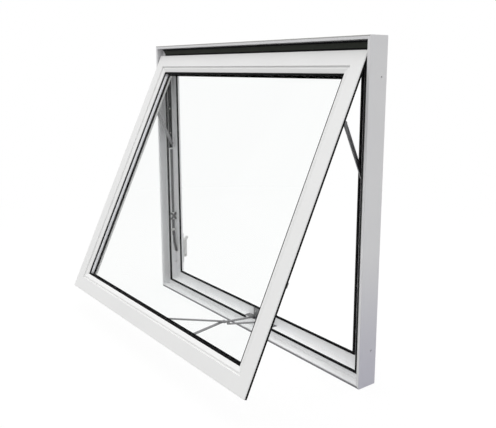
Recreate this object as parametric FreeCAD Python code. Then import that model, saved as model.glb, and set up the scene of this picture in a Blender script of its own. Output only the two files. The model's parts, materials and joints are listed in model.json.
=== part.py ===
"""Top hung awning window in white vinyl, with its sash swung out on two side stays.

The frame is mitred from one profile, and the sash from another. A pair of stays carries the sash:
on each side an arm turns on the jamb, and the sash's top corner slides down a track, so that the
bottom rail swings out. Crossed operator arms on the sill push the bottom rail. The model stands in
the open position. X runs to the right as seen from outside, Y into the building and Z up. The origin
is the middle of the sill's underside, at half the frame's depth. All sizes are in millimetres.
"""
import FreeCAD
import Part
import math
import os

Vector = FreeCAD.Vector

# Frame: overall size and the profile that all four sides share
FRAME_WIDTH = 1055.0
FRAME_HEIGHT = 915.0
FRAME_DEPTH = 62.0
LEG_THICKNESS = 10.0
RECESS_DEPTH = 24.5
CHANNEL_RISE = 34.0
STOP_FACE = 48.5
STOP_RISE = 70.0
STOP_THICKNESS = 7.0
EDGE_RADIUS = 1.2

# Weatherstrips on the frame
OUTER_STRIP_WIDTH = 5.5
OUTER_STRIP_HEIGHT = 6.5
OUTER_STRIP_TOP_GAP = 50.0
OPERATOR_BREAK = 62.0
HEAD_FLAP_THICKNESS = 2.2
HEAD_FLAP_EDGE = 1.5
HEAD_FLAP_BEAD = 4.0
INNER_STRIP_WIDTH = 7.0
INNER_STRIP_HEIGHT = 4.0

# Fixing holes through the jambs
FIXING_HOLE_RADIUS = 2.6
FIXING_HOLE_DEPTH = 43.0
FIXING_HOLE_SPACING = 715.0

# Sash: its place in the closed frame and its profile
REVEAL = 16.7
SASH_PROUD = 2.0
SASH_FACE = 60.0
FACE_RADIUS = 1.6
FACE_STEP_AT = 42.0
FACE_STEP = 4.5
GROOVE_WIDTH = 2.0
OVOLO_AT = 48.0
OVOLO_DEPTH = 2.5
OVOLO_FOOT = 6.6
FLANGE_THICKNESS = 7.0
FLANGE_LIP = 3.0
FLANGE_SEAT = 8.0
BODY_SETBACK = 38.0
BODY_WALL = 6.0
SASH_DEPTH = 42.0
LIP_BACK = 9.0
OPEN_ANGLE = 25.2

# Glazing
GASKET_THICKNESS = 2.0
GASKET_SHOW = 5.5
GASKET_COVER = 7.0
PANE_THICKNESS = 4.0
PANE_GAP = 10.0
PANE_CLEARANCE = 3.0
SPACER_SETBACK = 2.0
SPACER_WIDTH = 10.0
BEAD_CHAMFER = 3.0

# Sash weatherstrip behind the flange
SASH_STRIP_SETBACK = 0.4
SASH_STRIP_WIDTH = 6.6
SASH_STRIP_HEIGHT = 7.0
SASH_STRIP_TOP_GAP = 26.0

# Side stays
PIVOT_DEPTH = 32.0
SHOE_DROP = 22.6
STAY_LENGTH = 156.4
STAY_WIDTH = 11.0
STAY_THICKNESS = 3.0
STAY_OFFSET = 42.0
TRACK_WALL = 1.5
TRACK_HEIGHT = 5.0
TRACK_INNER = 9.0
TRACK_TAIL = 18.0
TRACK_HEAD = 5.0
ROLLER_CLEARANCE = 0.5
HINGE_PLATE_THICKNESS = 3.0
HINGE_PLATE_WIDTH = 14.0
HINGE_PLATE_TAIL = 60.0
HINGE_PLATE_HEAD = 2.0
ROLLER_PIN_RADIUS = 3.0
PIN_RADIUS = 4.0
BOSS_RADIUS = 4.0
RIVET_RADIUS = 5.0
RIVET_HEIGHT = 1.6
RUN_CLEARANCE = 0.3

# Scissor operator on the sill
OPERATOR_CENTRE = 54.0
ARM_PIVOT_HALF = 28.0
ARM_PIVOT_DEPTH = 32.0
ARM_PIVOT_RISE = 39.0
ELBOW_ANGLE = 163.0
LINK_END_HALF = 105.0
LOW_LINK_DEPTH = 13.2
HIGH_LINK_DEPTH = 22.7
LOW_LINK_RISE = 38.3
BAR_WIDTH = 9.0
BAR_THICKNESS = 3.0
LINK_GAP = 0.5
CROSS_GAP = 1.0
BASE_HALF = 70.0
BASE_THICKNESS = 1.5
BACKPLATE_HALF = 50.0
BACKPLATE_THICKNESS = 2.0
BACKPLATE_HEIGHT = 27.0
LINK_PIN_RADIUS = 2.6
BRACKET_HALF = 20.0
BRACKET_WIDTH = 12.0
BRACKET_THICKNESS = 3.0
COVER_HALF = 62.0
COVER_DEPTH = 24.0
COVER_LOW = 12.0
COVER_RADIUS = 8.0
CRANK_LENGTH = 84.0
CRANK_THICKNESS = 7.0
CRANK_WIDTH = 14.0
KNOB_RADIUS = 9.0
KNOB_LENGTH = 22.0

# Side locks
LOCK_BAR_WIDTH = 10.0
LOCK_BAR_THICKNESS = 2.0
LOCK_BAR_DEPTH = 35.0
LOCK_BAR_LOW = 208.0
LOCK_BAR_TOP_GAP = 6.0
CAM_RISE = 283.0
CAM_LENGTH = 26.0
CAM_WIDTH = 7.0
CAM_HEIGHT = 5.0
CAM_LEAN = 38.0
LEVER_RISE = 218.0
LEVER_KNEE = 40.0
LEVER_LENGTH = 72.0
LEVER_WIDTH = 7.0
LEVER_KNEE_SHIFT = 1.5
LEVER_END_SHIFT = 8.0
KEEPER_DROP = 601.0
KEEPER_LENGTH = 14.0
KEEPER_DEPTH = 12.0
KEEPER_HEIGHT = 7.0
LOCK_BASE_LOW = 100.0
LOCK_BASE_HIGH = 216.0
LOCK_BASE_WIDTH = 18.0
LOCK_BASE_INSET = 4.0
LOCK_BASE_THICKNESS = 5.0
HANDLE_PIVOT_RISE = 128.0
HANDLE_PIVOT_GAP = 8.0
HANDLE_LENGTH = 74.0
HANDLE_WIDTH = 11.0
HANDLE_THICKNESS = 8.0
HANDLE_HOOK = 16.0
HANDLE_TIP = 4.0

# Overshoot of cutting tools
CUT_PAST = 1.0

HALF_WIDTH = FRAME_WIDTH / 2.0
SASH_WIDTH = FRAME_WIDTH - 2.0 * REVEAL
SASH_HEIGHT = FRAME_HEIGHT - 2.0 * REVEAL
OPEN = math.radians(OPEN_ANGLE)


def depth_to_y(depth):
    """Y of a point that lies this far behind the frame's front."""
    return depth - FRAME_DEPTH / 2.0


SASH_FRONT = -SASH_PROUD
SASH_BACK = SASH_FRONT + SASH_DEPTH
PIVOT_Y = depth_to_y(PIVOT_DEPTH)
SHOE_CLOSED_Z = FRAME_HEIGHT - REVEAL - SHOE_DROP
STAY_PIVOT_Z = SHOE_CLOSED_Z - 2.0 * STAY_LENGTH
SHOE_FALL = 2.0 * STAY_LENGTH * (1.0 - math.cos(OPEN))


def swing(shape):
    """Carry a sash piece from the closed window to the open position."""
    moved = shape.copy()
    moved.rotate(Vector(0, PIVOT_Y, SHOE_CLOSED_Z), Vector(1, 0, 0), -OPEN_ANGLE)
    moved.translate(Vector(0, 0, -SHOE_FALL))
    return moved


def swing_point(point):
    """The open position of a point given on the closed sash."""
    y = point.y - PIVOT_Y
    z = point.z - SHOE_CLOSED_Z
    turned_y = y * math.cos(OPEN) + z * math.sin(OPEN)
    turned_z = z * math.cos(OPEN) - y * math.sin(OPEN)
    return Vector(point.x, PIVOT_Y + turned_y, SHOE_CLOSED_Z + turned_z - SHOE_FALL)


def mirrored(shape, centre=0.0):
    """The same piece on the other side of an upright plane at this X."""
    return shape.mirror(Vector(centre, 0, 0), Vector(1, 0, 0))


def rounded_wire(points, place):
    """A closed outline through (u, v, radius) corners, laid out in space by place."""
    count = len(points)
    entries = []
    for index in range(count):
        here = Vector(points[index][0], points[index][1], 0)
        before = Vector(points[index - 1][0], points[index - 1][1], 0) - here
        after = Vector(points[(index + 1) % count][0], points[(index + 1) % count][1], 0) - here
        radius = points[index][2]
        if radius <= 0:
            entries.append((here, None, here))
            continue
        half = before.getAngle(after) / 2.0
        before.normalize()
        after.normalize()
        reach = radius / math.tan(half)
        inward = before + after
        inward.normalize()
        middle = here + inward * (radius / math.sin(half) - radius)
        entries.append((here + before * reach, middle, here + after * reach))
    edges = []
    for index in range(count):
        start, middle, end = entries[index]
        if middle is not None:
            arc = Part.Arc(place(start.x, start.y), place(middle.x, middle.y), place(end.x, end.y))
            edges.append(arc.toShape())
        following = entries[(index + 1) % count][0]
        if (following - end).Length > 1e-6:
            line = Part.LineSegment(place(end.x, end.y), place(following.x, following.y))
            edges.append(line.toShape())
    return Part.Wire(edges)


def prism(points, place, direction):
    """A solid bar with a rounded outline."""
    return Part.Face(rounded_wire(points, place)).extrude(direction)


def flat_bar(start, end, width, thickness, normal):
    """A strip with round ends between two pivots, centred on the plane through them."""
    along = end - start
    length = along.Length
    along.normalize()
    across = normal.cross(along)
    across.normalize()
    low = start - normal * (thickness / 2.0)
    half = width / 2.0

    def place(u, v):
        return low + along * u + across * v

    edges = [
        Part.LineSegment(place(0, -half), place(length, -half)).toShape(),
        Part.Arc(place(length, -half), place(length + half, 0), place(length, half)).toShape(),
        Part.LineSegment(place(length, half), place(0, half)).toShape(),
        Part.Arc(place(0, half), place(-half, 0), place(0, -half)).toShape(),
    ]
    return Part.Face(Part.Wire(edges)).extrude(normal * thickness)


def fused(shapes):
    """One solid from pieces that meet."""
    result = shapes[0]
    for shape in shapes[1:]:
        result = result.fuse(shape)
    return result.removeSplitter()


def lower_member(points, width, foot, front):
    """A mitred bottom member: (rise, depth, radius) corners swept across the width."""
    reach = max(point[0] for point in points) + CUT_PAST

    def place(rise, depth):
        return Vector(-width / 2.0, depth_to_y(front + depth), foot + rise)

    bar = prism(points, place, Vector(width, 0, 0))
    mitre = [
        Vector(-width / 2.0, -FRAME_DEPTH, foot),
        Vector(width / 2.0, -FRAME_DEPTH, foot),
        Vector(width / 2.0 - reach, -FRAME_DEPTH, foot + reach),
        Vector(-width / 2.0 + reach, -FRAME_DEPTH, foot + reach),
    ]
    wedge = Part.Face(Part.makePolygon(mitre + mitre[:1])).extrude(Vector(0, 2.0 * FRAME_DEPTH, 0))
    return bar.common(wedge)


def left_member(points, width, height, foot, front):
    """A mitred left upright of the same profile."""
    reach = max(point[0] for point in points) + CUT_PAST
    side = -width / 2.0

    def place(rise, depth):
        return Vector(side + rise, depth_to_y(front + depth), foot)

    bar = prism(points, place, Vector(0, 0, height))
    mitre = [
        Vector(side, -FRAME_DEPTH, foot),
        Vector(side, -FRAME_DEPTH, foot + height),
        Vector(side + reach, -FRAME_DEPTH, foot + height - reach),
        Vector(side + reach, -FRAME_DEPTH, foot + reach),
    ]
    wedge = Part.Face(Part.makePolygon(mitre + mitre[:1])).extrude(Vector(0, 2.0 * FRAME_DEPTH, 0))
    return bar.common(wedge)


def upper_member(points, width, height, foot, front):
    """The bottom member turned over to the top."""
    lower = lower_member(points, width, foot, front)
    return lower.mirror(Vector(0, 0, foot + height / 2.0), Vector(0, 0, 1))


def jamb_x(offset):
    """X of a point this far in from the right jamb's outer face."""
    return HALF_WIDTH - offset


def rod(offset_from, offset_to, radius, y, z):
    """A round pin across the right side's gap between jamb and sash."""
    start = Vector(jamb_x(offset_from), y, z)
    return Part.makeCylinder(radius, abs(offset_to - offset_from), start, Vector(-1, 0, 0))


pieces = {}

# Frame profile as (rise from the outer edge, depth from the front, corner radius)
frame_profile = [
    (0.0, 0.0, EDGE_RADIUS),
    (LEG_THICKNESS, 0.0, EDGE_RADIUS),
    (LEG_THICKNESS, RECESS_DEPTH, EDGE_RADIUS),
    (CHANNEL_RISE, RECESS_DEPTH, EDGE_RADIUS),
    (CHANNEL_RISE, STOP_FACE, EDGE_RADIUS),
    (STOP_RISE, STOP_FACE, EDGE_RADIUS),
    (STOP_RISE, STOP_FACE + STOP_THICKNESS, EDGE_RADIUS),
    (CHANNEL_RISE, STOP_FACE + STOP_THICKNESS, EDGE_RADIUS),
    (CHANNEL_RISE, FRAME_DEPTH, EDGE_RADIUS),
    (0.0, FRAME_DEPTH, EDGE_RADIUS),
]
jamb = left_member(frame_profile, FRAME_WIDTH, FRAME_HEIGHT, 0.0, 0.0)
for step in (-0.5, 0.5):
    hole_z = FRAME_HEIGHT / 2.0 + step * FIXING_HOLE_SPACING
    hole_start = Vector(-HALF_WIDTH - CUT_PAST, depth_to_y(FIXING_HOLE_DEPTH), hole_z)
    hole_length = CHANNEL_RISE + 2.0 * CUT_PAST
    jamb = jamb.cut(Part.makeCylinder(FIXING_HOLE_RADIUS, hole_length, hole_start, Vector(1, 0, 0)))
pieces["frame_jamb_left"] = jamb
pieces["frame_jamb_right"] = mirrored(jamb)
pieces["frame_sill"] = lower_member(frame_profile, FRAME_WIDTH, 0.0, 0.0)
pieces["frame_head"] = upper_member(frame_profile, FRAME_WIDTH, FRAME_HEIGHT, 0.0, 0.0)

# Outer weatherstrip on the step of the sill and jambs, open where the operator's arms come out
outer_strip = [
    (CHANNEL_RISE - OUTER_STRIP_WIDTH, RECESS_DEPTH, 0.0),
    (CHANNEL_RISE - OUTER_STRIP_WIDTH, RECESS_DEPTH - OUTER_STRIP_HEIGHT, 1.5),
    (CHANNEL_RISE, RECESS_DEPTH - OUTER_STRIP_HEIGHT, 1.5),
    (CHANNEL_RISE, RECESS_DEPTH, 0.0),
]
strip_side = left_member(outer_strip, FRAME_WIDTH, FRAME_HEIGHT, 0.0, 0.0)
strip_keep = Part.makeBox(
    FRAME_WIDTH, 2.0 * FRAME_DEPTH, FRAME_HEIGHT - OUTER_STRIP_TOP_GAP, Vector(-HALF_WIDTH, -FRAME_DEPTH, 0)
)
strip_side = strip_side.common(strip_keep)
strip_foot = lower_member(outer_strip, FRAME_WIDTH, 0.0, 0.0)
operator_break = Part.makeBox(
    2.0 * OPERATOR_BREAK,
    2.0 * FRAME_DEPTH,
    2.0 * CHANNEL_RISE,
    Vector(OPERATOR_CENTRE - OPERATOR_BREAK, -FRAME_DEPTH, 0),
)
strip_round = fused([strip_foot, strip_side, mirrored(strip_side)]).cut(operator_break)

# Flap with a bead along each edge on the back wall of the head's recess
flap_low = LEG_THICKNESS + HEAD_FLAP_EDGE
flap_front = RECESS_DEPTH - HEAD_FLAP_THICKNESS
bead_top = RECESS_DEPTH - HEAD_FLAP_BEAD
head_flap = [
    (flap_low, RECESS_DEPTH, 0.0),
    (flap_low, bead_top, 1.0),
    (flap_low + HEAD_FLAP_BEAD, bead_top, 1.0),
    (flap_low + HEAD_FLAP_BEAD, flap_front, 0.0),
    (CHANNEL_RISE - HEAD_FLAP_BEAD, flap_front, 0.0),
    (CHANNEL_RISE - HEAD_FLAP_BEAD, bead_top, 1.0),
    (CHANNEL_RISE, bead_top, 1.0),
    (CHANNEL_RISE, RECESS_DEPTH, 0.0),
]
flap = upper_member(head_flap, FRAME_WIDTH, FRAME_HEIGHT, 0.0, 0.0)
pieces["frame_outer_weatherstrip"] = Part.makeCompound(strip_round.Solids + flap.Solids)

# Inner weatherstrip round the tip of the stop
inner_strip = [
    (STOP_RISE - INNER_STRIP_WIDTH, STOP_FACE, 0.0),
    (STOP_RISE - INNER_STRIP_WIDTH, STOP_FACE - INNER_STRIP_HEIGHT, 1.2),
    (STOP_RISE, STOP_FACE - INNER_STRIP_HEIGHT, 1.2),
    (STOP_RISE, STOP_FACE, 0.0),
]
strip_side = left_member(inner_strip, FRAME_WIDTH, FRAME_HEIGHT, 0.0, 0.0)
pieces["frame_inner_weatherstrip"] = fused([
    lower_member(inner_strip, FRAME_WIDTH, 0.0, 0.0),
    strip_side,
    upper_member(inner_strip, FRAME_WIDTH, FRAME_HEIGHT, 0.0, 0.0),
    mirrored(strip_side),
])

# Sash profile as (rise from the sash's outer edge, depth from its face, corner radius)
POCKET = BODY_SETBACK + BODY_WALL
sash_profile = [
    (0.0, 0.0, FACE_RADIUS),
    (FACE_STEP_AT, 0.0, 0.6),
    (FACE_STEP_AT, FACE_STEP, 0.4),
    (FACE_STEP_AT + GROOVE_WIDTH, FACE_STEP, 0.4),
    (OVOLO_AT, OVOLO_DEPTH, 3.0),
    (SASH_FACE, OVOLO_FOOT, EDGE_RADIUS),
    (SASH_FACE, LIP_BACK, 0.6),
    (POCKET, LIP_BACK, 0.0),
    (POCKET, SASH_DEPTH, 0.6),
    (BODY_SETBACK, SASH_DEPTH, EDGE_RADIUS),
    (BODY_SETBACK, FLANGE_THICKNESS, 0.8),
    (FLANGE_SEAT, FLANGE_THICKNESS, 0.6),
    (FLANGE_SEAT, FLANGE_LIP, 0.0),
    (0.0, FLANGE_LIP, 0.6),
]


def sash_ring(points):
    """The four mitred members of a ring round the sash: top, bottom, left and right."""
    left = left_member(points, SASH_WIDTH, SASH_HEIGHT, REVEAL, SASH_FRONT)
    return {
        "top": upper_member(points, SASH_WIDTH, SASH_HEIGHT, REVEAL, SASH_FRONT),
        "bottom": lower_member(points, SASH_WIDTH, REVEAL, SASH_FRONT),
        "left": left,
        "right": mirrored(left),
    }


sash = sash_ring(sash_profile)
pieces["sash_top_rail"] = swing(sash["top"])
pieces["sash_bottom_rail"] = swing(sash["bottom"])
pieces["sash_stile_left"] = swing(sash["left"])
pieces["sash_stile_right"] = swing(sash["right"])

# Double glazing between an outer gasket and a beaded inner gasket
pane_edge = POCKET + PANE_CLEARANCE
outer_pane_front = LIP_BACK + GASKET_THICKNESS
inner_pane_front = outer_pane_front + PANE_THICKNESS + PANE_GAP
pane_back = inner_pane_front + PANE_THICKNESS
bead_front = pane_back + GASKET_THICKNESS


def pane(front, thickness, edge):
    """A flat sheet in the sash, this far in from its outer edge."""
    inset = REVEAL + edge
    corner = Vector(-HALF_WIDTH + inset, depth_to_y(SASH_FRONT + front), inset)
    return Part.makeBox(FRAME_WIDTH - 2.0 * inset, thickness, FRAME_HEIGHT - 2.0 * inset, corner)


pieces["glass_outer"] = swing(pane(outer_pane_front, PANE_THICKNESS, pane_edge))
pieces["glass_inner"] = swing(pane(inner_pane_front, PANE_THICKNESS, pane_edge))
spacer_front = outer_pane_front + PANE_THICKNESS
spacer_edge = pane_edge + SPACER_SETBACK
spacer = pane(spacer_front, PANE_GAP, spacer_edge)
pieces["glass_spacer"] = swing(spacer.cut(pane(spacer_front, PANE_GAP, spacer_edge + SPACER_WIDTH)))

outer_gasket = [
    (SASH_FACE - GASKET_COVER, LIP_BACK, 0.0),
    (SASH_FACE, LIP_BACK, 0.0),
    (SASH_FACE + GASKET_SHOW, LIP_BACK + 0.4, 0.0),
    (SASH_FACE + GASKET_SHOW, outer_pane_front, 0.0),
    (SASH_FACE - GASKET_COVER, outer_pane_front, 0.0),
]
pieces["glazing_gasket_outer"] = swing(fused(list(sash_ring(outer_gasket).values())))
inner_gasket = [
    (SASH_FACE - GASKET_COVER, pane_back, 0.0),
    (SASH_FACE + GASKET_SHOW, pane_back, 0.0),
    (SASH_FACE + GASKET_SHOW, bead_front - 0.4, 0.0),
    (SASH_FACE, bead_front, 0.0),
    (SASH_FACE - GASKET_COVER, bead_front, 0.0),
]
pieces["glazing_gasket_inner"] = swing(fused(list(sash_ring(inner_gasket).values())))
bead_profile = [
    (POCKET, bead_front, 0.0),
    (SASH_FACE, bead_front, 0.0),
    (SASH_FACE, SASH_DEPTH - BEAD_CHAMFER, 0.6),
    (SASH_FACE - BEAD_CHAMFER, SASH_DEPTH, 0.6),
    (POCKET, SASH_DEPTH, 0.0),
]
beads = sash_ring(bead_profile)
for side in ("top", "bottom", "left", "right"):
    pieces["glazing_bead_" + side] = swing(beads[side])

# Weatherstrip behind the flange of the stiles and the bottom rail
sash_strip = [
    (SASH_STRIP_SETBACK, FLANGE_LIP, 0.0),
    (SASH_STRIP_SETBACK, FLANGE_LIP + SASH_STRIP_HEIGHT, 1.5),
    (SASH_STRIP_SETBACK + SASH_STRIP_WIDTH, FLANGE_LIP + SASH_STRIP_HEIGHT, 1.5),
    (SASH_STRIP_SETBACK + SASH_STRIP_WIDTH, FLANGE_LIP, 0.0),
]
strip_ring = sash_ring(sash_strip)
strip_keep = Part.makeBox(
    FRAME_WIDTH,
    2.0 * FRAME_DEPTH,
    FRAME_HEIGHT - REVEAL - SASH_STRIP_TOP_GAP,
    Vector(-HALF_WIDTH, -FRAME_DEPTH, 0),
)
strip_left = strip_ring["left"].common(strip_keep)
pieces["sash_weatherstrip"] = swing(fused([strip_ring["bottom"], strip_left, mirrored(strip_left)]))

# Side stays: a track on each jamb, an arm, and a plate with a roller on the sash
track_base = CHANNEL_RISE + TRACK_WALL
track_top = CHANNEL_RISE + TRACK_HEIGHT
track_half = TRACK_INNER / 2.0 + TRACK_WALL
track_profile = [
    (CHANNEL_RISE, -track_half, 0.0),
    (track_top, -track_half, 0.0),
    (track_top, -TRACK_INNER / 2.0, 0.0),
    (track_base, -TRACK_INNER / 2.0, 0.0),
    (track_base, TRACK_INNER / 2.0, 0.0),
    (track_top, TRACK_INNER / 2.0, 0.0),
    (track_top, track_half, 0.0),
    (CHANNEL_RISE, track_half, 0.0),
]
track_low = STAY_PIVOT_Z - TRACK_TAIL


def track_place(rise, across):
    return Vector(jamb_x(rise), PIVOT_Y + across, track_low)


track_length = SHOE_CLOSED_Z + TRACK_HEAD - track_low
track = prism(track_profile, track_place, Vector(0, 0, track_length))
pieces["hinge_track_right"] = track
pieces["hinge_track_left"] = mirrored(track)

stay_foot = Vector(jamb_x(STAY_OFFSET + STAY_THICKNESS / 2.0), PIVOT_Y, STAY_PIVOT_Z)
stay_tip = swing_point(Vector(stay_foot.x, PIVOT_Y, SHOE_CLOSED_Z - STAY_LENGTH))
stay_inner = STAY_OFFSET + STAY_THICKNESS
plate_back = REVEAL + BODY_SETBACK
plate_front = plate_back - HINGE_PLATE_THICKNESS
stay = fused([
    flat_bar(stay_foot, stay_tip, STAY_WIDTH, STAY_THICKNESS, Vector(1, 0, 0)),
    rod(track_base + RUN_CLEARANCE, STAY_OFFSET, BOSS_RADIUS, stay_foot.y, stay_foot.z),
    rod(stay_inner, stay_inner + RIVET_HEIGHT, RIVET_RADIUS, stay_foot.y, stay_foot.z),
    rod(stay_inner, plate_front - RUN_CLEARANCE, BOSS_RADIUS, stay_tip.y, stay_tip.z),
    rod(STAY_OFFSET - RIVET_HEIGHT, STAY_OFFSET, RIVET_RADIUS, stay_tip.y, stay_tip.z),
])
pieces["hinge_arm_right"] = stay
pieces["hinge_arm_left"] = mirrored(stay)

plate_low = SHOE_CLOSED_Z - STAY_LENGTH - HINGE_PLATE_TAIL
plate_length = SHOE_CLOSED_Z + HINGE_PLATE_HEAD - plate_low
hinge_plate = Part.makeBox(
    HINGE_PLATE_THICKNESS,
    HINGE_PLATE_WIDTH,
    plate_length,
    Vector(jamb_x(plate_back), PIVOT_Y - HINGE_PLATE_WIDTH / 2.0, plate_low),
)
roller_radius = TRACK_INNER / 2.0 - ROLLER_CLEARANCE
hinge_plate = fused([
    hinge_plate,
    rod(track_top, plate_front, ROLLER_PIN_RADIUS, PIVOT_Y, SHOE_CLOSED_Z),
    rod(track_base + ROLLER_CLEARANCE, track_top, roller_radius, PIVOT_Y, SHOE_CLOSED_Z),
])
pieces["hinge_plate_right"] = swing(hinge_plate)
pieces["hinge_plate_left"] = swing(mirrored(hinge_plate))

# Scissor operator: two arms on the sill and two crossed links on the sash's bottom rail
arm_pivot_y = depth_to_y(ARM_PIVOT_DEPTH)
low_level = BAR_THICKNESS + LINK_GAP
high_level = low_level + BAR_THICKNESS + CROSS_GAP
LINK_EXCESS = ARM_PIVOT_HALF + LINK_END_HALF
low_end = OPERATOR_CENTRE + LINK_END_HALF
high_end = OPERATOR_CENTRE - LINK_END_HALF
low_pivot = swing_point(Vector(low_end, depth_to_y(LOW_LINK_DEPTH), LOW_LINK_RISE))
bar_slope = (low_pivot.z - low_level - ARM_PIVOT_RISE) / (arm_pivot_y - low_pivot.y)
slope_length = math.hypot(1.0, bar_slope)
bar_normal = Vector(0, bar_slope / slope_length, 1.0 / slope_length)
outward = Vector(0, -1.0 / slope_length, bar_slope / slope_length)
arm_foot_left = Vector(OPERATOR_CENTRE - ARM_PIVOT_HALF, arm_pivot_y, ARM_PIVOT_RISE)
arm_foot_right = Vector(OPERATOR_CENTRE + ARM_PIVOT_HALF, arm_pivot_y, ARM_PIVOT_RISE)
low_pivot = low_pivot + bar_normal * (low_level - (low_pivot - arm_foot_left).dot(bar_normal))
high_start = swing_point(Vector(high_end, depth_to_y(HIGH_LINK_DEPTH), LOW_LINK_RISE))
high_pivot = high_start + bar_normal * (high_level - (high_start - arm_foot_right).dot(bar_normal))


def elbow(foot, pivot, side):
    """Where an arm from its foot meets a link from its pivot, in the arms' plane.

    A link is longer than its arm by LINK_EXCESS, so that the two lie along the sill when the window
    is closed. The open window bends them to ELBOW_ANGLE, which gives the arm's length.
    """
    across = pivot.x - foot.x
    out = (pivot - foot).dot(outward)
    span = math.hypot(across, out)
    fold = 1.0 - math.cos(math.radians(ELBOW_ANGLE))
    spread = 2.0 * (span ** 2 - LINK_EXCESS ** 2) / fold
    arm = (math.sqrt(LINK_EXCESS ** 2 + spread) - LINK_EXCESS) / 2.0
    bend = math.asin((arm + LINK_EXCESS) * math.sin(math.radians(ELBOW_ANGLE)) / span)
    heading = math.atan2(out, across) + side * bend
    return foot + Vector(1, 0, 0) * (arm * math.cos(heading)) + outward * (arm * math.sin(heading))


elbow_left = elbow(arm_foot_left, low_pivot, 1.0)
elbow_right = elbow(arm_foot_right, high_pivot, -1.0)
half_bar = BAR_THICKNESS / 2.0


def upright(point, level_from, level_to, radius):
    """A round boss on an operator bar, along the bars' pivot axis."""
    return Part.makeCylinder(radius, level_to - level_from, point + bar_normal * level_from, bar_normal)


pieces["operator_arm_left"] = fused([
    flat_bar(arm_foot_left, elbow_left, BAR_WIDTH, BAR_THICKNESS, bar_normal),
    upright(arm_foot_left, half_bar, half_bar + RIVET_HEIGHT, BAR_WIDTH / 2.0),
])
pieces["operator_arm_right"] = fused([
    flat_bar(arm_foot_right, elbow_right, BAR_WIDTH, BAR_THICKNESS, bar_normal),
    upright(arm_foot_right, half_bar, half_bar + RIVET_HEIGHT, BAR_WIDTH / 2.0),
    upright(elbow_right, half_bar, high_level - half_bar - LINK_GAP, BAR_WIDTH / 2.0),
])


def operator_link(tip, pivot, level):
    """A link from an arm's end to its bracket, at this height over the arms."""
    bar = flat_bar(tip + bar_normal * level, pivot, BAR_WIDTH, BAR_THICKNESS, bar_normal)
    rivet = upright(tip, level + half_bar, level + half_bar + RIVET_HEIGHT, BAR_WIDTH / 2.0)
    return fused([bar, rivet])


pieces["operator_link_left"] = operator_link(elbow_left, low_pivot, low_level)
pieces["operator_link_right"] = operator_link(elbow_right, high_pivot, high_level)

rail_underside = REVEAL + BODY_SETBACK


def link_bracket(pivot, depth):
    """A foot under the closed bottom rail with a link's pivot boss."""
    boss_start = pivot + bar_normal * (half_bar + RUN_CLEARANCE)
    boss = Part.makeCylinder(LINK_PIN_RADIUS, BODY_SETBACK, boss_start, bar_normal)
    corner = Vector(
        pivot.x - BRACKET_HALF, depth_to_y(depth) - BRACKET_WIDTH / 2.0, rail_underside - BRACKET_THICKNESS
    )
    foot = swing(Part.makeBox(2.0 * BRACKET_HALF, BRACKET_WIDTH, BRACKET_THICKNESS, corner))
    low_corner = Vector(-HALF_WIDTH, -FRAME_DEPTH, 0)
    below = Part.makeBox(FRAME_WIDTH, 2.0 * FRAME_DEPTH, rail_underside, low_corner)
    return fused([boss.common(swing(below)), foot])


pieces["operator_bracket_right"] = link_bracket(low_pivot, LOW_LINK_DEPTH)
pieces["operator_bracket_left"] = link_bracket(high_pivot, HIGH_LINK_DEPTH)

base_top = CHANNEL_RISE + BASE_THICKNESS
base_front = depth_to_y(RECESS_DEPTH + EDGE_RADIUS)
base = Part.makeBox(
    2.0 * BASE_HALF,
    depth_to_y(STOP_FACE - EDGE_RADIUS) - base_front,
    BASE_THICKNESS,
    Vector(OPERATOR_CENTRE - BASE_HALF, base_front, CHANNEL_RISE),
)
post_height = ARM_PIVOT_RISE - half_bar - RUN_CLEARANCE - base_top - BAR_WIDTH / 2.0 * bar_slope
post_foot = Vector(arm_foot_left.x, arm_foot_left.y, base_top)
post = Part.makeCylinder(PIN_RADIUS, post_height, post_foot, Vector(0, 0, 1))
pieces["operator_base"] = fused([base, post, mirrored(post, OPERATOR_CENTRE)])
pieces["operator_back_plate"] = Part.makeBox(
    2.0 * BACKPLATE_HALF,
    BACKPLATE_THICKNESS,
    BACKPLATE_HEIGHT,
    Vector(
        OPERATOR_CENTRE - BACKPLATE_HALF,
        depth_to_y(STOP_FACE - BACKPLATE_THICKNESS),
        CHANNEL_RISE + BASE_THICKNESS,
    ),
)

# Operator cover and crank on the room side of the sill, below the stop's edge

def cover_place(rise, out):
    return Vector(OPERATOR_CENTRE - COVER_HALF, depth_to_y(FRAME_DEPTH) + out, rise)


pieces["operator_cover"] = prism(
    [
        (COVER_LOW, 0.0, 0.0),
        (CHANNEL_RISE, 0.0, 0.0),
        (CHANNEL_RISE, COVER_DEPTH, COVER_RADIUS),
        (COVER_LOW, COVER_DEPTH, COVER_RADIUS),
    ],
    cover_place,
    Vector(2.0 * COVER_HALF, 0, 0),
)
crank_face = depth_to_y(FRAME_DEPTH + COVER_DEPTH)
crank_rise = (COVER_LOW + CHANNEL_RISE) / 2.0
crank_start = Vector(OPERATOR_CENTRE, crank_face + RIVET_HEIGHT + CRANK_THICKNESS / 2.0, crank_rise)
crank_end = crank_start + Vector(CRANK_LENGTH, 0, 0)
crank_hub = Vector(crank_start.x, crank_face, crank_rise)
knob_foot = crank_end + Vector(0, CRANK_THICKNESS / 2.0, 0)
pieces["crank_handle"] = fused([
    flat_bar(crank_start, crank_end, CRANK_WIDTH, CRANK_THICKNESS, Vector(0, 1, 0)),
    Part.makeCylinder(BOSS_RADIUS, RIVET_HEIGHT, crank_hub, Vector(0, 1, 0)),
    Part.makeCylinder(KNOB_RADIUS, KNOB_LENGTH, knob_foot, Vector(0, 1, 0)),
])

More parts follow.
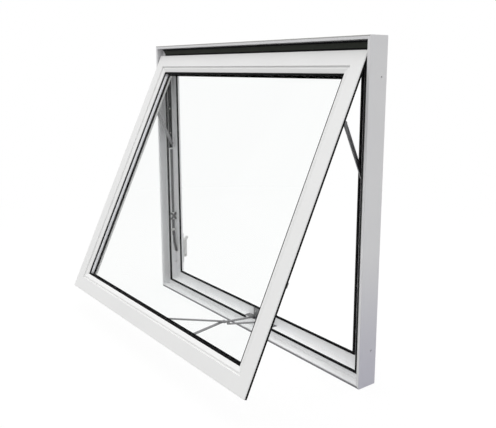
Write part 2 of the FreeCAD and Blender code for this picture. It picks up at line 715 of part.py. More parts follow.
# Side locks: a sliding bar with its cams in each jamb's channel, and a handle on the room side
bar_top = CHANNEL_RISE + LOCK_BAR_THICKNESS
bar_y = depth_to_y(LOCK_BAR_DEPTH)
lock_bar = Part.makeBox(
    LOCK_BAR_THICKNESS,
    LOCK_BAR_WIDTH,
    track_low - LOCK_BAR_TOP_GAP - LOCK_BAR_LOW,
    Vector(jamb_x(bar_top), bar_y - LOCK_BAR_WIDTH / 2.0, LOCK_BAR_LOW),
)
cam_mid = jamb_x(bar_top + CAM_HEIGHT / 2.0)
cam_bars = []
for lean in (-CAM_LEAN, CAM_LEAN):
    reach_y = math.sin(math.radians(lean)) * CAM_LENGTH / 2.0
    reach_z = math.cos(math.radians(lean)) * CAM_LENGTH / 2.0
    cam_bars.append(flat_bar(
        Vector(cam_mid, bar_y - reach_y, CAM_RISE - reach_z),
        Vector(cam_mid, bar_y + reach_y, CAM_RISE + reach_z),
        CAM_WIDTH,
        CAM_HEIGHT,
        Vector(1, 0, 0),
    ))
lever_top = Vector(cam_mid, bar_y, LEVER_RISE)
lever_knee = Vector(cam_mid, bar_y + LEVER_KNEE_SHIFT, LEVER_RISE - LEVER_KNEE)
lever_end = Vector(cam_mid, bar_y + LEVER_END_SHIFT, LEVER_RISE - LEVER_LENGTH)
lever = fused([
    flat_bar(lever_top, lever_knee, LEVER_WIDTH, CAM_HEIGHT, Vector(1, 0, 0)),
    flat_bar(lever_knee, lever_end, LEVER_WIDTH, CAM_HEIGHT, Vector(1, 0, 0)),
])
lock_bar = fused([lock_bar] + cam_bars + [lever])
pieces["lock_bar_right"] = lock_bar
pieces["lock_bar_left"] = mirrored(lock_bar)

keeper_z = FRAME_HEIGHT - REVEAL - KEEPER_DROP
keeper = Part.makeBox(
    KEEPER_HEIGHT,
    KEEPER_DEPTH,
    KEEPER_LENGTH,
    Vector(
        jamb_x(plate_back),
        depth_to_y(SASH_BACK) - KEEPER_DEPTH - EDGE_RADIUS,
        keeper_z - KEEPER_LENGTH / 2.0,
    ),
)
pieces["keeper_right"] = swing(keeper)
pieces["keeper_left"] = swing(mirrored(keeper))

stop_back = depth_to_y(STOP_FACE + STOP_THICKNESS)
base_inner = STOP_RISE - LOCK_BASE_INSET
lock_base = Part.makeBox(
    LOCK_BASE_WIDTH,
    LOCK_BASE_THICKNESS,
    LOCK_BASE_HIGH - LOCK_BASE_LOW,
    Vector(jamb_x(base_inner), stop_back, LOCK_BASE_LOW),
)
pieces["lock_base_right"] = lock_base
pieces["lock_base_left"] = mirrored(lock_base)

handle_pivot_y = stop_back + LOCK_BASE_THICKNESS + HANDLE_PIVOT_GAP
handle_profile = [
    (handle_pivot_y - HANDLE_THICKNESS / 2.0, HANDLE_PIVOT_RISE - HANDLE_THICKNESS / 2.0, 1.0),
    (handle_pivot_y + HANDLE_THICKNESS, HANDLE_PIVOT_RISE - HANDLE_THICKNESS / 2.0, 3.0),
    (handle_pivot_y + HANDLE_THICKNESS, HANDLE_PIVOT_RISE + HANDLE_LENGTH - HANDLE_HOOK, 4.0),
    (handle_pivot_y + HANDLE_HOOK, HANDLE_PIVOT_RISE + HANDLE_LENGTH - HANDLE_TIP, 2.0),
    (handle_pivot_y + HANDLE_HOOK - HANDLE_TIP, HANDLE_PIVOT_RISE + HANDLE_LENGTH, 2.0),
    (handle_pivot_y - HANDLE_THICKNESS / 2.0, HANDLE_PIVOT_RISE + HANDLE_LENGTH - HANDLE_HOOK, 4.0),
]
handle_x = jamb_x(base_inner - (LOCK_BASE_WIDTH - HANDLE_WIDTH) / 2.0)


def handle_place(y, z):
    return Vector(handle_x, y, z)


handle = prism(handle_profile, handle_place, Vector(HANDLE_WIDTH, 0, 0))
hub_radius = HANDLE_PIVOT_GAP - RUN_CLEARANCE
hub_start = Vector(handle_x, handle_pivot_y, HANDLE_PIVOT_RISE)
hub = Part.makeCylinder(hub_radius, HANDLE_WIDTH, hub_start, Vector(1, 0, 0))
handle = fused([handle, hub])
pieces["lock_handle_right"] = handle
pieces["lock_handle_left"] = mirrored(handle)

os.makedirs("parts", exist_ok=True)
for name in sorted(pieces):
    shape = pieces[name]
    solids = shape.Solids
    solid = solids[0] if len(solids) == 1 else Part.makeCompound(solids)
    print(name, len(solids), shape.isValid(), round(shape.Volume), solid.BoundBox)
    solid.exportStep("parts/" + name + ".step")
pivots = {
    "arm foot left": arm_foot_left,
    "arm foot right": arm_foot_right,
    "elbow left": elbow_left,
    "elbow right": elbow_right,
    "low pivot": low_pivot,
    "high pivot": high_pivot,
    "bar normal": bar_normal,
    "outward": outward,
    "stay foot": stay_foot,
    "stay tip": stay_tip,
}
for label in pivots:
    print(label, pivots[label])
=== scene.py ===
"""Looks of the top hung awning window: finishes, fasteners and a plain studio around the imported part."""

import json
import math

import bmesh
import bpy
from mathutils import Matrix, Vector


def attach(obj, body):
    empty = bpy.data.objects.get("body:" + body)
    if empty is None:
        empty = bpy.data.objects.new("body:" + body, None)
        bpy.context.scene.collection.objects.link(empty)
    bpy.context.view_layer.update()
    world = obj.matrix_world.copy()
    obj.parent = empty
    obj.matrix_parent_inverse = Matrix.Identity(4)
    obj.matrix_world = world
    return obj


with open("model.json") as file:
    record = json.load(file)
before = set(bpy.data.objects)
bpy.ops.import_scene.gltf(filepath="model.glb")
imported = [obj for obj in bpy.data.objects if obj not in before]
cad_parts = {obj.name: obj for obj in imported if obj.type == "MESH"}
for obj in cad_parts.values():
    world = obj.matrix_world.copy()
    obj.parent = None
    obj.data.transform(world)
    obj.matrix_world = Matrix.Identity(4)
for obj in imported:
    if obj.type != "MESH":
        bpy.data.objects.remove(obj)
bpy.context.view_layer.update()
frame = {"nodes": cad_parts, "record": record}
nodes = frame["nodes"]

# The photograph's size and the camera that took it: pixels, metres and degrees, the sensor in millimetres
IMAGE_WIDTH = 496.0
IMAGE_HEIGHT = 428.0
CAMERA_PLACE = Vector((1.6217, -1.2030, 0.8351))
CAMERA_YAW = 52.888
CAMERA_PITCH = -11.583
FOCAL_PIXELS = 645.97
PRINCIPAL_X = 255.17
PRINCIPAL_Y = 201.14
SENSOR_WIDTH = 36.0

# Colours of the finishes, among them painted shade, painted light and a painted highlight, and the places
# in metres between which a colour changes
SASH_WHITE = (0.85, 0.85, 0.845, 1.0)
SASH_SHADE = (0.825, 0.825, 0.822, 1.0)
FRAME_WHITE = (0.815, 0.815, 0.825, 1.0)
FRAME_SHADE = (0.785, 0.785, 0.80, 1.0)
# Painted shade: a grey-lilac foot on each jamb's outer side, fading out upward
FOOT_SHADE = (0.58, 0.575, 0.645, 1.0)
FOOT_REACH = (0.02, 0.42)
JAMB_OUTSIDE = (0.5258, 0.5270)
# Painted light: the sill's vinyl is a whiter copy of the frame's, standing for the stronger light on its
# upward faces
SILL_WHITE = (0.90, 0.90, 0.905, 1.0)
SILL_SHADE = (0.865, 0.865, 0.875, 1.0)
# Painted shade: a dark line along the sill's lower edge
SILL_EDGE_SHADE = (0.195, 0.190, 0.205, 1.0)
SILL_EDGE_REACH = (0.0046, 0.0080)
# Painted shade: a darker line along the head's upper edge
HEAD_EDGE_SHADE = (0.40, 0.40, 0.39, 1.0)
HEAD_EDGE_REACH = (0.9108, 0.9130)
PAINT_WHITE = (0.74, 0.74, 0.73, 1.0)
PAINT_SHADE = (0.69, 0.69, 0.685, 1.0)
RUBBER_BLACK = (0.004, 0.004, 0.0045, 1.0)
RUBBER_BLOOM = (0.010, 0.010, 0.011, 1.0)
STRIP_GREY = (0.050, 0.050, 0.051, 1.0)
STRIP_REACH = (0.05, 0.25)
STRIP_TOP = 0.870
# Painted shade: the head's flap is a dark sheet standing for the shade in the head's recess, its flat
# painted dark grey
FLAP_SHADE = (0.045, 0.050, 0.042, 1.0)
FLAP_LOW = 0.8850
FLAP_HIGH = 0.8995
FLAP_EDGE = 0.0010
STEEL_LIGHT = (0.30, 0.30, 0.305, 1.0)
STEEL_DARK = (0.19, 0.19, 0.195, 1.0)
# Painted shade: the stay tracks' steel, far darker than the other steel, stands for the shade the tracks
# lie in
TRACK_LIGHT = (0.085, 0.088, 0.090, 1.0)
TRACK_DARK = (0.045, 0.047, 0.048, 1.0)
SCREW_LIGHT = (0.56, 0.56, 0.55, 1.0)
SCREW_DARK = (0.40, 0.40, 0.39, 1.0)
# Painted highlight: a near-white band on each lock bar at its cam's height
CAM_HIGHLIGHT = (0.97, 0.97, 0.96, 1.0)
CAM_LOW = 0.2690
CAM_HIGH = 0.2970
CAM_EDGE = 0.0005
CAM_FOOT = (0.4908, 0.4914)
SPACER_LIGHT = (0.90, 0.90, 0.92, 1.0)
SPACER_DARK = (0.80, 0.80, 0.83, 1.0)
GLASS_TINT = (0.981, 0.986, 0.984, 1.0)

# Noise in the finishes, each as scale and detail
VINYL_CLOUD = (5.0, 4.0)
VINYL_PEEL = (420.0, 2.0)
PAINT_CLOUD = (24.0, 3.0)
PAINT_PEEL = (700.0, 2.0)
RUBBER_CLOUD = (60.0, 5.0)
RUBBER_GRAIN = (1500.0, 3.0)
METAL_BRUSHING = (1.0, 4.0)
GLASS_WAVE = (2.2, 1.0)

# Scale of the brushing along each axis
UPRIGHT_BRUSHING = (900.0, 900.0, 14.0)
LEVEL_BRUSHING = (14.0, 900.0, 900.0)

# The noise values between which shade, bloom and roughness change
SHADE_BAND = (0.3, 0.7)
BLOOM_BAND = (0.35, 0.75)
ROUGHNESS_BAND = (0.25, 0.75)

# Roughness from the smoothest to the roughest spots, and the other numbers of the shaders
VINYL_ROUGHNESS = (0.30, 0.40)
PAINT_ROUGHNESS = (0.22, 0.32)
RUBBER_ROUGHNESS = (0.55, 0.75)
METAL_ROUGHNESS = (0.34, 0.52)
FLOOR_ROUGHNESS = 0.9
VINYL_SPECULAR = 0.45
RUBBER_SPECULAR = 0.06
GLASS_INDEX = 1.06

# Bumps, each as distance in metres and strength
VINYL_BUMP = (0.00006, 0.25)
PAINT_BUMP = (0.00008, 0.3)
RUBBER_BUMP = (0.00008, 0.4)
METAL_BUMP = (0.00005, 0.35)
GLASS_BUMP = (0.0004, 0.05)

# Screw heads: lengths as shares of the head's radius, rings as shares of radius and height
HEAD_SIDES = 24
HEAD_HEIGHT = 0.42
HEAD_RINGS = ((1.0, 0.0), (1.0, 0.35), (0.94, 0.66), (0.78, 0.90), (0.62, 1.0))
RECESS_REACH = 0.50
RECESS_HALF = 0.12
RECESS_DEPTH = 0.25

# A head's sink in metres, the turn from head to head in radians, and the largest angle that is smoothed
HEAD_SINK = 0.00005
HEAD_TURN = 0.7
SMOOTH_ANGLE = math.radians(35.0)

# Radii of the screw heads in metres
TRACK_HEAD = 0.0032
PLATE_HEAD = 0.0034
KEEPER_HEAD = 0.0026
LOCK_BASE_HEAD = 0.0032
HANDLE_PIN_HEAD = 0.0036
GUIDE_HEAD = 0.0013
BASE_HEAD = 0.0030
BACK_PLATE_HEAD = 0.0028
CRANK_HEAD = 0.0036
BRACKET_HEAD = 0.0028

# Places of the fasteners on the frame and its hardware, in metres
TRACK_FACE = 0.4920
TRACK_Y = 0.0010
TRACK_SCREWS = (0.600, 0.690, 0.780)
LOCK_BASE_X = 0.4705
LOCK_BASE_FACE = 0.0295
LOCK_BASE_SCREWS = (0.108, 0.209)
HANDLE_PIVOT = (0.0375, 0.1280)
HANDLE_INNER_SIDE = 0.4650
HANDLE_OUTER_SIDE = 0.4760
OPERATOR_X = 0.0540
BASE_TOP = 0.0355
BASE_SCREW_Y = 0.0105
BASE_SCREWS = (-0.060, 0.0, 0.060)
BACK_PLATE_FACE = 0.0155
BACK_PLATE_SCREW_Z = 0.0500
BACK_PLATE_SCREWS = (-0.040, 0.040)
CRANK_FACE = 0.0636
CRANK_RISE = 0.0230

# The saddle over a lock bar, in metres; its outline is given across the channel and out of it
CHANNEL_FACE = 0.4935
GUIDE_Y = 0.0040
GUIDE_HEIGHT = 0.230
GUIDE_LENGTH = 0.009
GUIDE_FOOT = 0.0010
GUIDE_SCREWS = (-0.0081, 0.0081)
GUIDE_EDGE = 0.00025
GUIDE_EDGE_STEPS = 2
GUIDE_EDGE_PROFILE = 0.5
GUIDE_OUTLINE = (
    (-0.0096, 0.0), (-0.0096, 0.0010), (-0.0066, 0.0010), (-0.0062, 0.0033),
    (0.0062, 0.0033), (0.0066, 0.0010), (0.0096, 0.0010), (0.0096, 0.0),
    (0.0054, 0.0), (0.0054, 0.0023), (-0.0054, 0.0023), (-0.0054, 0.0),
)

# Places of the fasteners on the closed sash, in metres, and how the open sash lies
SASH_TURN = Matrix.Rotation(math.radians(-25.2), 3, "X")
SHOE_CLOSED = Vector((0.0, 0.0010, 0.8757))
SHOE_OPEN = Vector((0.0, 0.0010, 0.84593))
PLATE_FACE = 0.4758
PLATE_SCREWS = (0.035, 0.095, 0.190)
KEEPER_FACE = 0.4798
KEEPER_SCREW = (0.0018, 0.2973)
BRACKET_UNDERSIDE = 0.0517
BRACKET_PLACES = {"left": (-0.0510, -0.0083), "right": (0.1590, -0.0178)}
BRACKET_SCREWS = (-0.014, 0.014)

# Directions in which screw heads face
UP = (0, 0, 1)
INTO_ROOM = (0, 1, 0)
TO_STREET = (0, -1, 0)

# Studio: lengths in metres, and each lamp's place, target, size and power in watts
FLOOR_SIZE = 40.0
FLOOR_GREY = (0.30, 0.30, 0.30, 1.0)
FLOOR_WHITE = (0.90, 0.90, 0.90, 1.0)
FLOOR_GLOW_NEAR = 0.93
FLOOR_GLOW_REACH = (0.9, 2.6)
WORLD_WHITE = (1.0, 1.0, 1.0, 1.0)
SKY_LEVEL = 1.2
GROUND_LEVEL = 0.0
SKY_RISE = (-0.2, 0.5)
LAMPS = {
    "overhead": ((0.0, 0.1, 3.0), (0.0, 0.0, 0.4), 1.4, 16.0),
    "fill": ((-1.8, -2.0, 1.9), (0.0, -0.2, 0.5), 1.2, 3.0),
}


def new_material(name):
    """A new node material with its tree, its Principled shader and the part's own coordinates in metres."""
    material = bpy.data.materials.new(name)
    material.use_nodes = True
    tree = material.node_tree
    shader = tree.nodes["Principled BSDF"]
    place = tree.nodes.new("ShaderNodeTexCoord").outputs["Object"]
    return material, tree, shader, place


def stretched(tree, place, scale):
    """The coordinates scaled along each axis."""
    mapping = tree.nodes.new("ShaderNodeMapping")
    mapping.inputs["Scale"].default_value = scale
    tree.links.new(place, mapping.inputs["Vector"])
    return mapping.outputs["Vector"]


def noise(tree, place, scale, detail):
    """A noise texture's value."""
    texture = tree.nodes.new("ShaderNodeTexNoise")
    texture.inputs["Scale"].default_value = scale
    texture.inputs["Detail"].default_value = detail
    tree.links.new(place, texture.inputs["Vector"])
    return texture.outputs["Fac"]


def ramp(tree, value, low, high, first, last):
    """A colour that runs from first to last as the value goes from low to high."""
    node = tree.nodes.new("ShaderNodeValToRGB")
    node.color_ramp.elements[0].position = low
    node.color_ramp.elements[0].color = first
    node.color_ramp.elements[1].position = high
    node.color_ramp.elements[1].color = last
    tree.links.new(value, node.inputs["Fac"])
    return node.outputs["Color"]


def mapped(tree, value, low, high, first, last, manner):
    """A number that runs from first to last as the value goes from low to high, evenly or eased."""
    node = tree.nodes.new("ShaderNodeMapRange")
    node.interpolation_type = manner
    node.inputs["From Min"].default_value = low
    node.inputs["From Max"].default_value = high
    node.inputs["To Min"].default_value = first
    node.inputs["To Max"].default_value = last
    tree.links.new(value, node.inputs["Value"])
    return node.outputs["Result"]


def eased(tree, value, low, high, first, last):
    """A number that runs from first to last with soft ends."""
    return mapped(tree, value, low, high, first, last, "SMOOTHSTEP")


def roughened(tree, shader, value, smoothest, roughest):
    """Roughness of the shader that follows a noise value."""
    roughness = mapped(tree, value, *ROUGHNESS_BAND, smoothest, roughest, "LINEAR")
    tree.links.new(roughness, shader.inputs["Roughness"])


def bumped(tree, shader, height, distance, strength):
    """A bump on the shader from a height value."""
    bump = tree.nodes.new("ShaderNodeBump")
    bump.inputs["Distance"].default_value = distance
    bump.inputs["Strength"].default_value = strength
    tree.links.new(height, bump.inputs["Height"])
    tree.links.new(bump.outputs["Normal"], shader.inputs["Normal"])


def feed(tree, entry, value):
    """Link a socket to a node's input, or set the input to a plain number or colour."""
    if isinstance(value, bpy.types.NodeSocket):
        tree.links.new(value, entry)
    else:
        entry.default_value = value


def along(tree, place, axis):
    """One of the place's coordinates."""
    parts = tree.nodes.new("ShaderNodeSeparateXYZ")
    tree.links.new(place, parts.inputs["Vector"])
    return parts.outputs[axis]


def combined(tree, operation, first, second):
    """A math node over two values, either of which may be a plain number."""
    node = tree.nodes.new("ShaderNodeMath")
    node.operation = operation
    feed(tree, node.inputs[0], first)
    feed(tree, node.inputs[1], second)
    return node.outputs["Value"]


def off_middle(tree, place):
    """How far the place lies to either side of the window's middle."""
    return combined(tree, "ABSOLUTE", along(tree, place, "X"), 0.0)


def mixed(tree, share, first, last):
    """A colour between two others, either of which may be a plain colour."""
    mix = tree.nodes.new("ShaderNodeMixRGB")
    tree.links.new(share, mix.inputs["Fac"])
    feed(tree, mix.inputs["Color1"], first)
    feed(tree, mix.inputs["Color2"], last)
    return mix.outputs["Color"]


def height_mix(tree, place, low, high, below, above):
    """A colour that changes from below to above between two heights."""
    return mixed(tree, eased(tree, along(tree, place, "Z"), low, high, 0.0, 1.0), below, above)


def shader_mix(tree, share, first, last):
    """Make the material's surface a mix of two shaders."""
    mix = tree.nodes.new("ShaderNodeMixShader")
    tree.links.new(share, mix.inputs["Fac"])
    tree.links.new(first, mix.inputs[1])
    tree.links.new(last, mix.inputs[2])
    tree.links.new(mix.outputs["Shader"], tree.nodes["Material Output"].inputs["Surface"])


def sill_painted_shade(tree, place, colour):
    """Painted shade: a dark line along the sill's lower edge."""
    return height_mix(tree, place, *SILL_EDGE_REACH, SILL_EDGE_SHADE, colour)


def head_painted_shade(tree, place, colour):
    """Painted shade: a darker line along the head's upper edge."""
    return height_mix(tree, place, *HEAD_EDGE_REACH, colour, HEAD_EDGE_SHADE)


def jamb_painted_shade(tree, place, colour):
    """Painted shade: a jamb's outer side turning grey-lilac towards its foot."""
    inside = eased(tree, off_middle(tree, place), *JAMB_OUTSIDE, 1.0, 0.0)
    above = eased(tree, along(tree, place, "Z"), *FOOT_REACH, 0.0, 1.0)
    return mixed(tree, combined(tree, "MAXIMUM", inside, above), FOOT_SHADE, colour)


def strip_greying_and_shade(tree, place, colour):
    """The outer strip greyer up the jambs, and painted shade on the flat of the head's flap, a dark sheet
    that stands for the shade in the head's recess.
    """
    sides = height_mix(tree, place, *STRIP_REACH, colour, STRIP_GREY)
    bead = height_mix(tree, place, STRIP_TOP, STRIP_TOP + FLAP_EDGE, sides, colour)
    flat = height_mix(tree, place, FLAP_LOW, FLAP_LOW + FLAP_EDGE, bead, FLAP_SHADE)
    return height_mix(tree, place, FLAP_HIGH - FLAP_EDGE, FLAP_HIGH, flat, colour)


def cam_painted_highlight(tree, place, colour):
    """Painted highlight: a near-white length of a lock bar at its cam's height, on the bar's outer part."""
    upper = height_mix(tree, place, CAM_LOW, CAM_LOW + CAM_EDGE, colour, CAM_HIGHLIGHT)
    bar = height_mix(tree, place, CAM_HIGH - CAM_EDGE, CAM_HIGH, upper, colour)
    return mixed(tree, eased(tree, off_middle(tree, place), *CAM_FOOT, 1.0, 0.0), bar, colour)


def extruded_vinyl(name, white, shaded, painted_shade=None):
    """Satin white vinyl with the faint orange peel of an extrusion and a little uneven tone, with painted
    shade added where given.
    """
    material, tree, shader, place = new_material(name)
    colour = ramp(tree, noise(tree, place, *VINYL_CLOUD), *SHADE_BAND, shaded, white)
    if painted_shade:
        colour = painted_shade(tree, place, colour)
    tree.links.new(colour, shader.inputs["Base Color"])
    peel = noise(tree, place, *VINYL_PEEL)
    roughened(tree, shader, peel, *VINYL_ROUGHNESS)
    bumped(tree, shader, peel, *VINYL_BUMP)
    shader.inputs["Specular IOR Level"].default_value = VINYL_SPECULAR
    return material


def painted_hardware():
    """White paint on cast and pressed hardware, glossier than the vinyl."""
    material, tree, shader, place = new_material("white_hardware")
    colour = ramp(tree, noise(tree, place, *PAINT_CLOUD), *SHADE_BAND, PAINT_SHADE, PAINT_WHITE)
    tree.links.new(colour, shader.inputs["Base Color"])
    peel = noise(tree, place, *PAINT_PEEL)
    roughened(tree, shader, peel, *PAINT_ROUGHNESS)
    bumped(tree, shader, peel, *PAINT_BUMP)
    return material


def seal_rubber(name, greying_and_shade=None):
    """Matt black rubber with a slight bloom, and greying and painted shade where given."""
    material, tree, shader, place = new_material(name)
    colour = ramp(tree, noise(tree, place, *RUBBER_CLOUD), *BLOOM_BAND, RUBBER_BLACK, RUBBER_BLOOM)
    if greying_and_shade:
        colour = greying_and_shade(tree, place, colour)
    tree.links.new(colour, shader.inputs["Base Color"])
    grain = noise(tree, place, *RUBBER_GRAIN)
    roughened(tree, shader, grain, *RUBBER_ROUGHNESS)
    bumped(tree, shader, grain, *RUBBER_BUMP)
    shader.inputs["Specular IOR Level"].default_value = RUBBER_SPECULAR
    return material


def brushed_metal(name, light, dark, scale, painted_highlight=None):
    """Dull metal with fine brushing along one axis, and a painted highlight where given."""
    material, tree, shader, place = new_material(name)
    brushing = noise(tree, stretched(tree, place, scale), *METAL_BRUSHING)
    colour = ramp(tree, brushing, *SHADE_BAND, dark, light)
    if painted_highlight:
        colour = painted_highlight(tree, place, colour)
    tree.links.new(colour, shader.inputs["Base Color"])
    roughened(tree, shader, brushing, *METAL_ROUGHNESS)
    bumped(tree, shader, brushing, *METAL_BUMP)
    shader.inputs["Metallic"].default_value = 1.0
    return material


def window_glass():
    """Clear float glass that lets lamp light through."""
    material, tree, shader, place = new_material("clear_glass")
    shader.inputs["Base Color"].default_value = GLASS_TINT
    shader.inputs["Roughness"].default_value = 0.0
    shader.inputs["IOR"].default_value = GLASS_INDEX
    shader.inputs["Transmission Weight"].default_value = 1.0
    bumped(tree, shader, noise(tree, place, *GLASS_WAVE), *GLASS_BUMP)
    clear = tree.nodes.new("ShaderNodeBsdfTransparent")
    path = tree.nodes.new("ShaderNodeLightPath")
    shader_mix(tree, path.outputs["Is Shadow Ray"], shader.outputs["BSDF"], clear.outputs["BSDF"])
    return material


finishes = {
    "white_vinyl": extruded_vinyl("white_vinyl", SASH_WHITE, SASH_SHADE),
    # Head, jamb and sill vinyl carry painted shade; the sill's vinyl is also a whiter copy as painted light
    "head_vinyl": extruded_vinyl("head_vinyl", FRAME_WHITE, FRAME_SHADE, head_painted_shade),
    "jamb_vinyl": extruded_vinyl("jamb_vinyl", FRAME_WHITE, FRAME_SHADE, jamb_painted_shade),
    "sill_vinyl": extruded_vinyl("sill_vinyl", SILL_WHITE, SILL_SHADE, sill_painted_shade),
    "white_hardware": painted_hardware(),
    "black_rubber": seal_rubber("black_rubber"),
    # The outer strip's rubber is greyer up the jambs and carries painted shade on the head's flap
    "strip_rubber": seal_rubber("strip_rubber", strip_greying_and_shade),
    "glass": window_glass(),
    "spacer_metal": brushed_metal("spacer_metal", SPACER_LIGHT, SPACER_DARK, LEVEL_BRUSHING),
    "hardware_steel": brushed_metal("hardware_steel", STEEL_LIGHT, STEEL_DARK, UPRIGHT_BRUSHING),
    # The lock bars carry a painted highlight
    "lock_steel": brushed_metal("lock_steel", STEEL_LIGHT, STEEL_DARK, UPRIGHT_BRUSHING, cam_painted_highlight),
    # The stay tracks carry painted shade
    "track_steel_painted_shade": brushed_metal("track_steel_painted_shade", TRACK_LIGHT, TRACK_DARK, UPRIGHT_BRUSHING),
    "screw_steel": brushed_metal("screw_steel", SCREW_LIGHT, SCREW_DARK, LEVEL_BRUSHING),
}
SPECIAL_FINISHES = {
    "frame_head": "head_vinyl",
    "frame_jamb_left": "jamb_vinyl",
    "frame_jamb_right": "jamb_vinyl",
    "frame_sill": "sill_vinyl",
    "frame_outer_weatherstrip": "strip_rubber",
    "hinge_track_left": "track_steel_painted_shade",
    "hinge_track_right": "track_steel_painted_shade",
    "lock_bar_left": "lock_steel",
    "lock_bar_right": "lock_steel",
}


def dress(node, finish):
    """Give a CAD node its finish."""
    materials = nodes[node].data.materials
    materials.clear()
    materials.append(finishes[finish])


for subpart in frame["record"]["subparts"]:
    dress(subpart["node"], SPECIAL_FINISHES.get(subpart["node"], subpart["material_slot"]))


def finished(name, form, body, finish):
    """Turn a mesh under construction into a piece that rides on a body."""
    bmesh.ops.recalc_face_normals(form, faces=form.faces)
    mesh = bpy.data.meshes.new(name)
    form.to_mesh(mesh)
    form.free()
    mesh.shade_smooth()
    mesh.set_sharp_from_angle(angle=SMOOTH_ANGLE)
    mesh.materials.append(finishes[finish])
    piece = bpy.data.objects.new(name, mesh)
    bpy.context.scene.collection.objects.link(piece)
    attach(piece, body)


def walls(form, low, high):
    """Add the faces between two loops with the same number of corners."""
    for step in range(len(low)):
        after = (step + 1) % len(low)
        form.faces.new((low[step], low[after], high[after], high[step]))


def cross_outline(radius):
    """The corners of a screw's cross recess."""
    half = radius * RECESS_HALF
    reach = radius * RECESS_REACH
    quarter = [(reach, -half), (reach, half), (half, half)]
    corners = []
    for turns in range(4):
        corners.extend(quarter)
        quarter = [(-v, u) for u, v in quarter]
    return corners


def screw_head(form, spot, outward, radius, turn):
    """Add a pan head with a cross recess that stands on a surface."""
    height = radius * HEAD_HEIGHT
    stand = outward.to_track_quat("Z", "Y").to_matrix().to_4x4()
    place = Matrix.Translation(spot - outward * HEAD_SINK) @ stand @ Matrix.Rotation(turn, 4, "Z")
    rings = []
    for share, rise in HEAD_RINGS:
        across = radius * share
        ring = []
        for step in range(HEAD_SIDES):
            angle = 2.0 * math.pi * step / HEAD_SIDES
            point = Vector((math.cos(angle) * across, math.sin(angle) * across, height * rise))
            ring.append(form.verts.new(place @ point))
        rings.append(ring)
    for low, high in zip(rings, rings[1:]):
        walls(form, low, high)
    form.faces.new(rings[0])
    cross = cross_outline(radius)
    bottom = height - radius * RECESS_DEPTH
    rim = [form.verts.new(place @ Vector((u, v, height))) for u, v in cross]
    floor = [form.verts.new(place @ Vector((u, v, bottom))) for u, v in cross]
    walls(form, rim, floor)
    form.faces.new(floor)
    border = []
    for loop in (rings[-1], rim):
        for step in range(len(loop)):
            border.append(form.edges.get((loop[step], loop[(step + 1) % len(loop)])))
    bmesh.ops.triangle_fill(form, edges=border, use_beauty=True, normal=outward)


def screws(name, body, heads, radius):
    """Screw heads of one size as one piece; heads are pairs of a spot and its outward direction."""
    form = bmesh.new()
    for index, (spot, outward) in enumerate(heads):
        screw_head(form, Vector(spot), Vector(outward), radius, HEAD_TURN * index)
    finished(name, form, body, "screw_steel")


def bar_guide(name, sign):
    """A saddle that holds a lock bar in its jamb's channel."""
    form = bmesh.new()
    ends = []
    for z in (GUIDE_HEIGHT - GUIDE_LENGTH / 2.0, GUIDE_HEIGHT + GUIDE_LENGTH / 2.0):
        loop = []
        for across, rise in GUIDE_OUTLINE:
            loop.append(form.verts.new((sign * (CHANNEL_FACE - rise), GUIDE_Y + across, z)))
        form.faces.new(loop)
        ends.append(loop)
    walls(form, *ends)
    bmesh.ops.bevel(
        form,
        geom=form.edges[:],
        offset=GUIDE_EDGE,
        segments=GUIDE_EDGE_STEPS,
        affect="EDGES",
        profile=GUIDE_EDGE_PROFILE,
    )
    finished(name, form, "frame", "white_hardware")


def on_sash(x, y, z):
    """The open place of a point given on the closed sash."""
    return SHOE_OPEN + SASH_TURN @ (Vector((x, y, z)) - SHOE_CLOSED)


def stay_fasteners(side, sign):
    """Screws of one side's stay, on its track and on its plate."""
    track = [((sign * TRACK_FACE, TRACK_Y, z), (-sign, 0, 0)) for z in TRACK_SCREWS]
    screws("track_screws_" + side, "frame", track, TRACK_HEAD)
    plate = []
    for drop in PLATE_SCREWS:
        spot = on_sash(sign * PLATE_FACE, SHOE_CLOSED.y, SHOE_CLOSED.z - drop)
        plate.append((spot, (sign, 0, 0)))
    screws("hinge_plate_screws_" + side, "sash", plate, PLATE_HEAD)


def lock_fasteners(side, sign):
    """Screws, handle pin and bar guide of one side's lock."""
    inward = (-sign, 0, 0)
    outward = (sign, 0, 0)
    keeper = on_sash(sign * KEEPER_FACE, *KEEPER_SCREW)
    screws("keeper_screw_" + side, "sash", [(keeper, outward)], KEEPER_HEAD)
    base = [((sign * LOCK_BASE_X, LOCK_BASE_FACE, z), INTO_ROOM) for z in LOCK_BASE_SCREWS]
    screws("lock_base_screws_" + side, "frame", base, LOCK_BASE_HEAD)
    pin = [
        ((sign * HANDLE_INNER_SIDE, *HANDLE_PIVOT), inward),
        ((sign * HANDLE_OUTER_SIDE, *HANDLE_PIVOT), outward),
    ]
    screws("lock_handle_pin_" + side, "lock_handle_" + side, pin, HANDLE_PIN_HEAD)
    bar_guide("lock_bar_guide_" + side, sign)
    foot_x = sign * (CHANNEL_FACE - GUIDE_FOOT)
    guide = [((foot_x, GUIDE_Y + shift, GUIDE_HEIGHT), inward) for shift in GUIDE_SCREWS]
    screws("lock_bar_guide_screws_" + side, "frame", guide, GUIDE_HEAD)


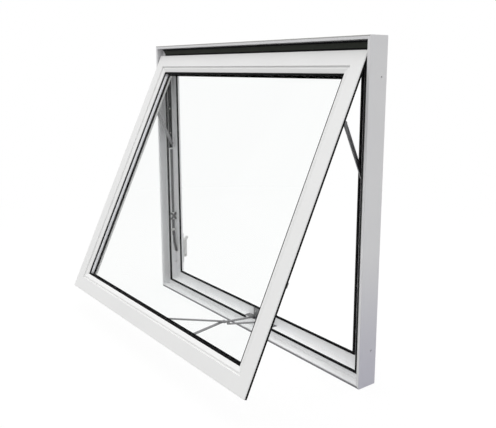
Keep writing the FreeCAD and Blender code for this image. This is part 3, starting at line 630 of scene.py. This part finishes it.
def operator_fasteners():
    """Screws of the operator on the sill, its crank and its brackets under the bottom rail."""
    base = [((OPERATOR_X + shift, BASE_SCREW_Y, BASE_TOP), UP) for shift in BASE_SCREWS]
    screws("operator_base_screws", "frame", base, BASE_HEAD)
    plate = []
    for shift in BACK_PLATE_SCREWS:
        plate.append(((OPERATOR_X + shift, BACK_PLATE_FACE, BACK_PLATE_SCREW_Z), TO_STREET))
    screws("operator_back_plate_screws", "frame", plate, BACK_PLATE_HEAD)
    screws("crank_screw", "frame", [((OPERATOR_X, CRANK_FACE, CRANK_RISE), INTO_ROOM)], CRANK_HEAD)
    down = SASH_TURN @ Vector((0, 0, -1))
    for side, (x, y) in BRACKET_PLACES.items():
        foot = [(on_sash(x + shift, y, BRACKET_UNDERSIDE), down) for shift in BRACKET_SCREWS]
        screws("operator_bracket_screws_" + side, "sash", foot, BRACKET_HEAD)


for side, sign in (("left", -1.0), ("right", 1.0)):
    stay_fasteners(side, sign)
    lock_fasteners(side, sign)
operator_fasteners()


def seen_ray(tree):
    """One for the rays that show a surface to the camera, straight or by way of glass and metal."""
    path = tree.nodes.new("ShaderNodeLightPath")
    seen = path.outputs["Is Camera Ray"]
    for ray in ("Is Glossy Ray", "Is Transmission Ray"):
        seen = combined(tree, "MAXIMUM", seen, path.outputs[ray])
    return seen


def studio_world():
    """A world that is white where it is seen and lights the part softly, mostly from above."""
    world = bpy.data.worlds.new("studio")
    bpy.context.scene.world = world
    world.use_nodes = True
    tree = world.node_tree
    heading = tree.nodes.new("ShaderNodeTexCoord").outputs["Generated"]
    sky = eased(tree, along(tree, heading, "Z"), *SKY_RISE, GROUND_LEVEL, SKY_LEVEL)
    level = tree.nodes.new("ShaderNodeMix")
    level.data_type = "FLOAT"
    tree.links.new(seen_ray(tree), level.inputs["Factor"])
    tree.links.new(sky, level.inputs["A"])
    level.inputs["B"].default_value = 1.0
    background = tree.nodes["Background"]
    background.inputs["Color"].default_value = WORLD_WHITE
    tree.links.new(level.outputs["Result"], background.inputs["Strength"])


def pale_floor():
    """A white floor under the sill that keeps a soft shadow."""
    half = FLOOR_SIZE / 2.0
    mesh = bpy.data.meshes.new("floor")
    corners = [(-half, -half, 0), (half, -half, 0), (half, half, 0), (-half, half, 0)]
    mesh.from_pydata(corners, [], [(0, 1, 2, 3)])
    floor = bpy.data.objects.new("floor", mesh)
    bpy.context.scene.collection.objects.link(floor)
    material, tree, shader, place = new_material("floor")
    shader.inputs["Roughness"].default_value = FLOOR_ROUGHNESS
    seen = seen_ray(tree)
    tree.links.new(mixed(tree, seen, FLOOR_GREY, FLOOR_WHITE), shader.inputs["Base Color"])
    glow = tree.nodes.new("ShaderNodeEmission")
    distance = tree.nodes.new("ShaderNodeVectorMath")
    distance.operation = "LENGTH"
    tree.links.new(place, distance.inputs[0])
    fade = eased(tree, distance.outputs["Value"], *FLOOR_GLOW_REACH, FLOOR_GLOW_NEAR, 1.0)
    share = combined(tree, "MULTIPLY", seen, fade)
    shader_mix(tree, share, shader.outputs["BSDF"], glow.outputs["Emission"])
    mesh.materials.append(material)


def soft_box(name, place, target, size, power):
    """A square area lamp aimed at a point."""
    lamp = bpy.data.lights.new(name, "AREA")
    lamp.shape = "SQUARE"
    lamp.size = size
    lamp.energy = power
    holder = bpy.data.objects.new(name, lamp)
    holder.location = place
    holder.rotation_mode = "QUATERNION"
    holder.rotation_quaternion = (Vector(target) - Vector(place)).to_track_quat("-Z", "Y")
    bpy.context.scene.collection.objects.link(holder)


def photo_camera():
    """The camera at the photograph's place."""
    yaw = math.radians(CAMERA_YAW)
    pitch = math.radians(CAMERA_PITCH)
    ahead = Vector((-math.sin(yaw) * math.cos(pitch), math.cos(yaw) * math.cos(pitch), math.sin(pitch)))
    lens = bpy.data.cameras.new("camera")
    lens.sensor_width = SENSOR_WIDTH
    lens.lens = FOCAL_PIXELS / IMAGE_WIDTH * SENSOR_WIDTH
    lens.shift_x = (IMAGE_WIDTH / 2.0 - PRINCIPAL_X) / IMAGE_WIDTH
    lens.shift_y = (PRINCIPAL_Y - IMAGE_HEIGHT / 2.0) / IMAGE_WIDTH
    camera = bpy.data.objects.new("camera", lens)
    camera.location = CAMERA_PLACE
    camera.rotation_mode = "QUATERNION"
    camera.rotation_quaternion = ahead.to_track_quat("-Z", "Y")
    bpy.context.scene.collection.objects.link(camera)
    bpy.context.scene.camera = camera


studio_world()
pale_floor()
for name, settings in LAMPS.items():
    soft_box(name, *settings)
photo_camera()
bpy.context.scene.view_settings.view_transform = "Standard"
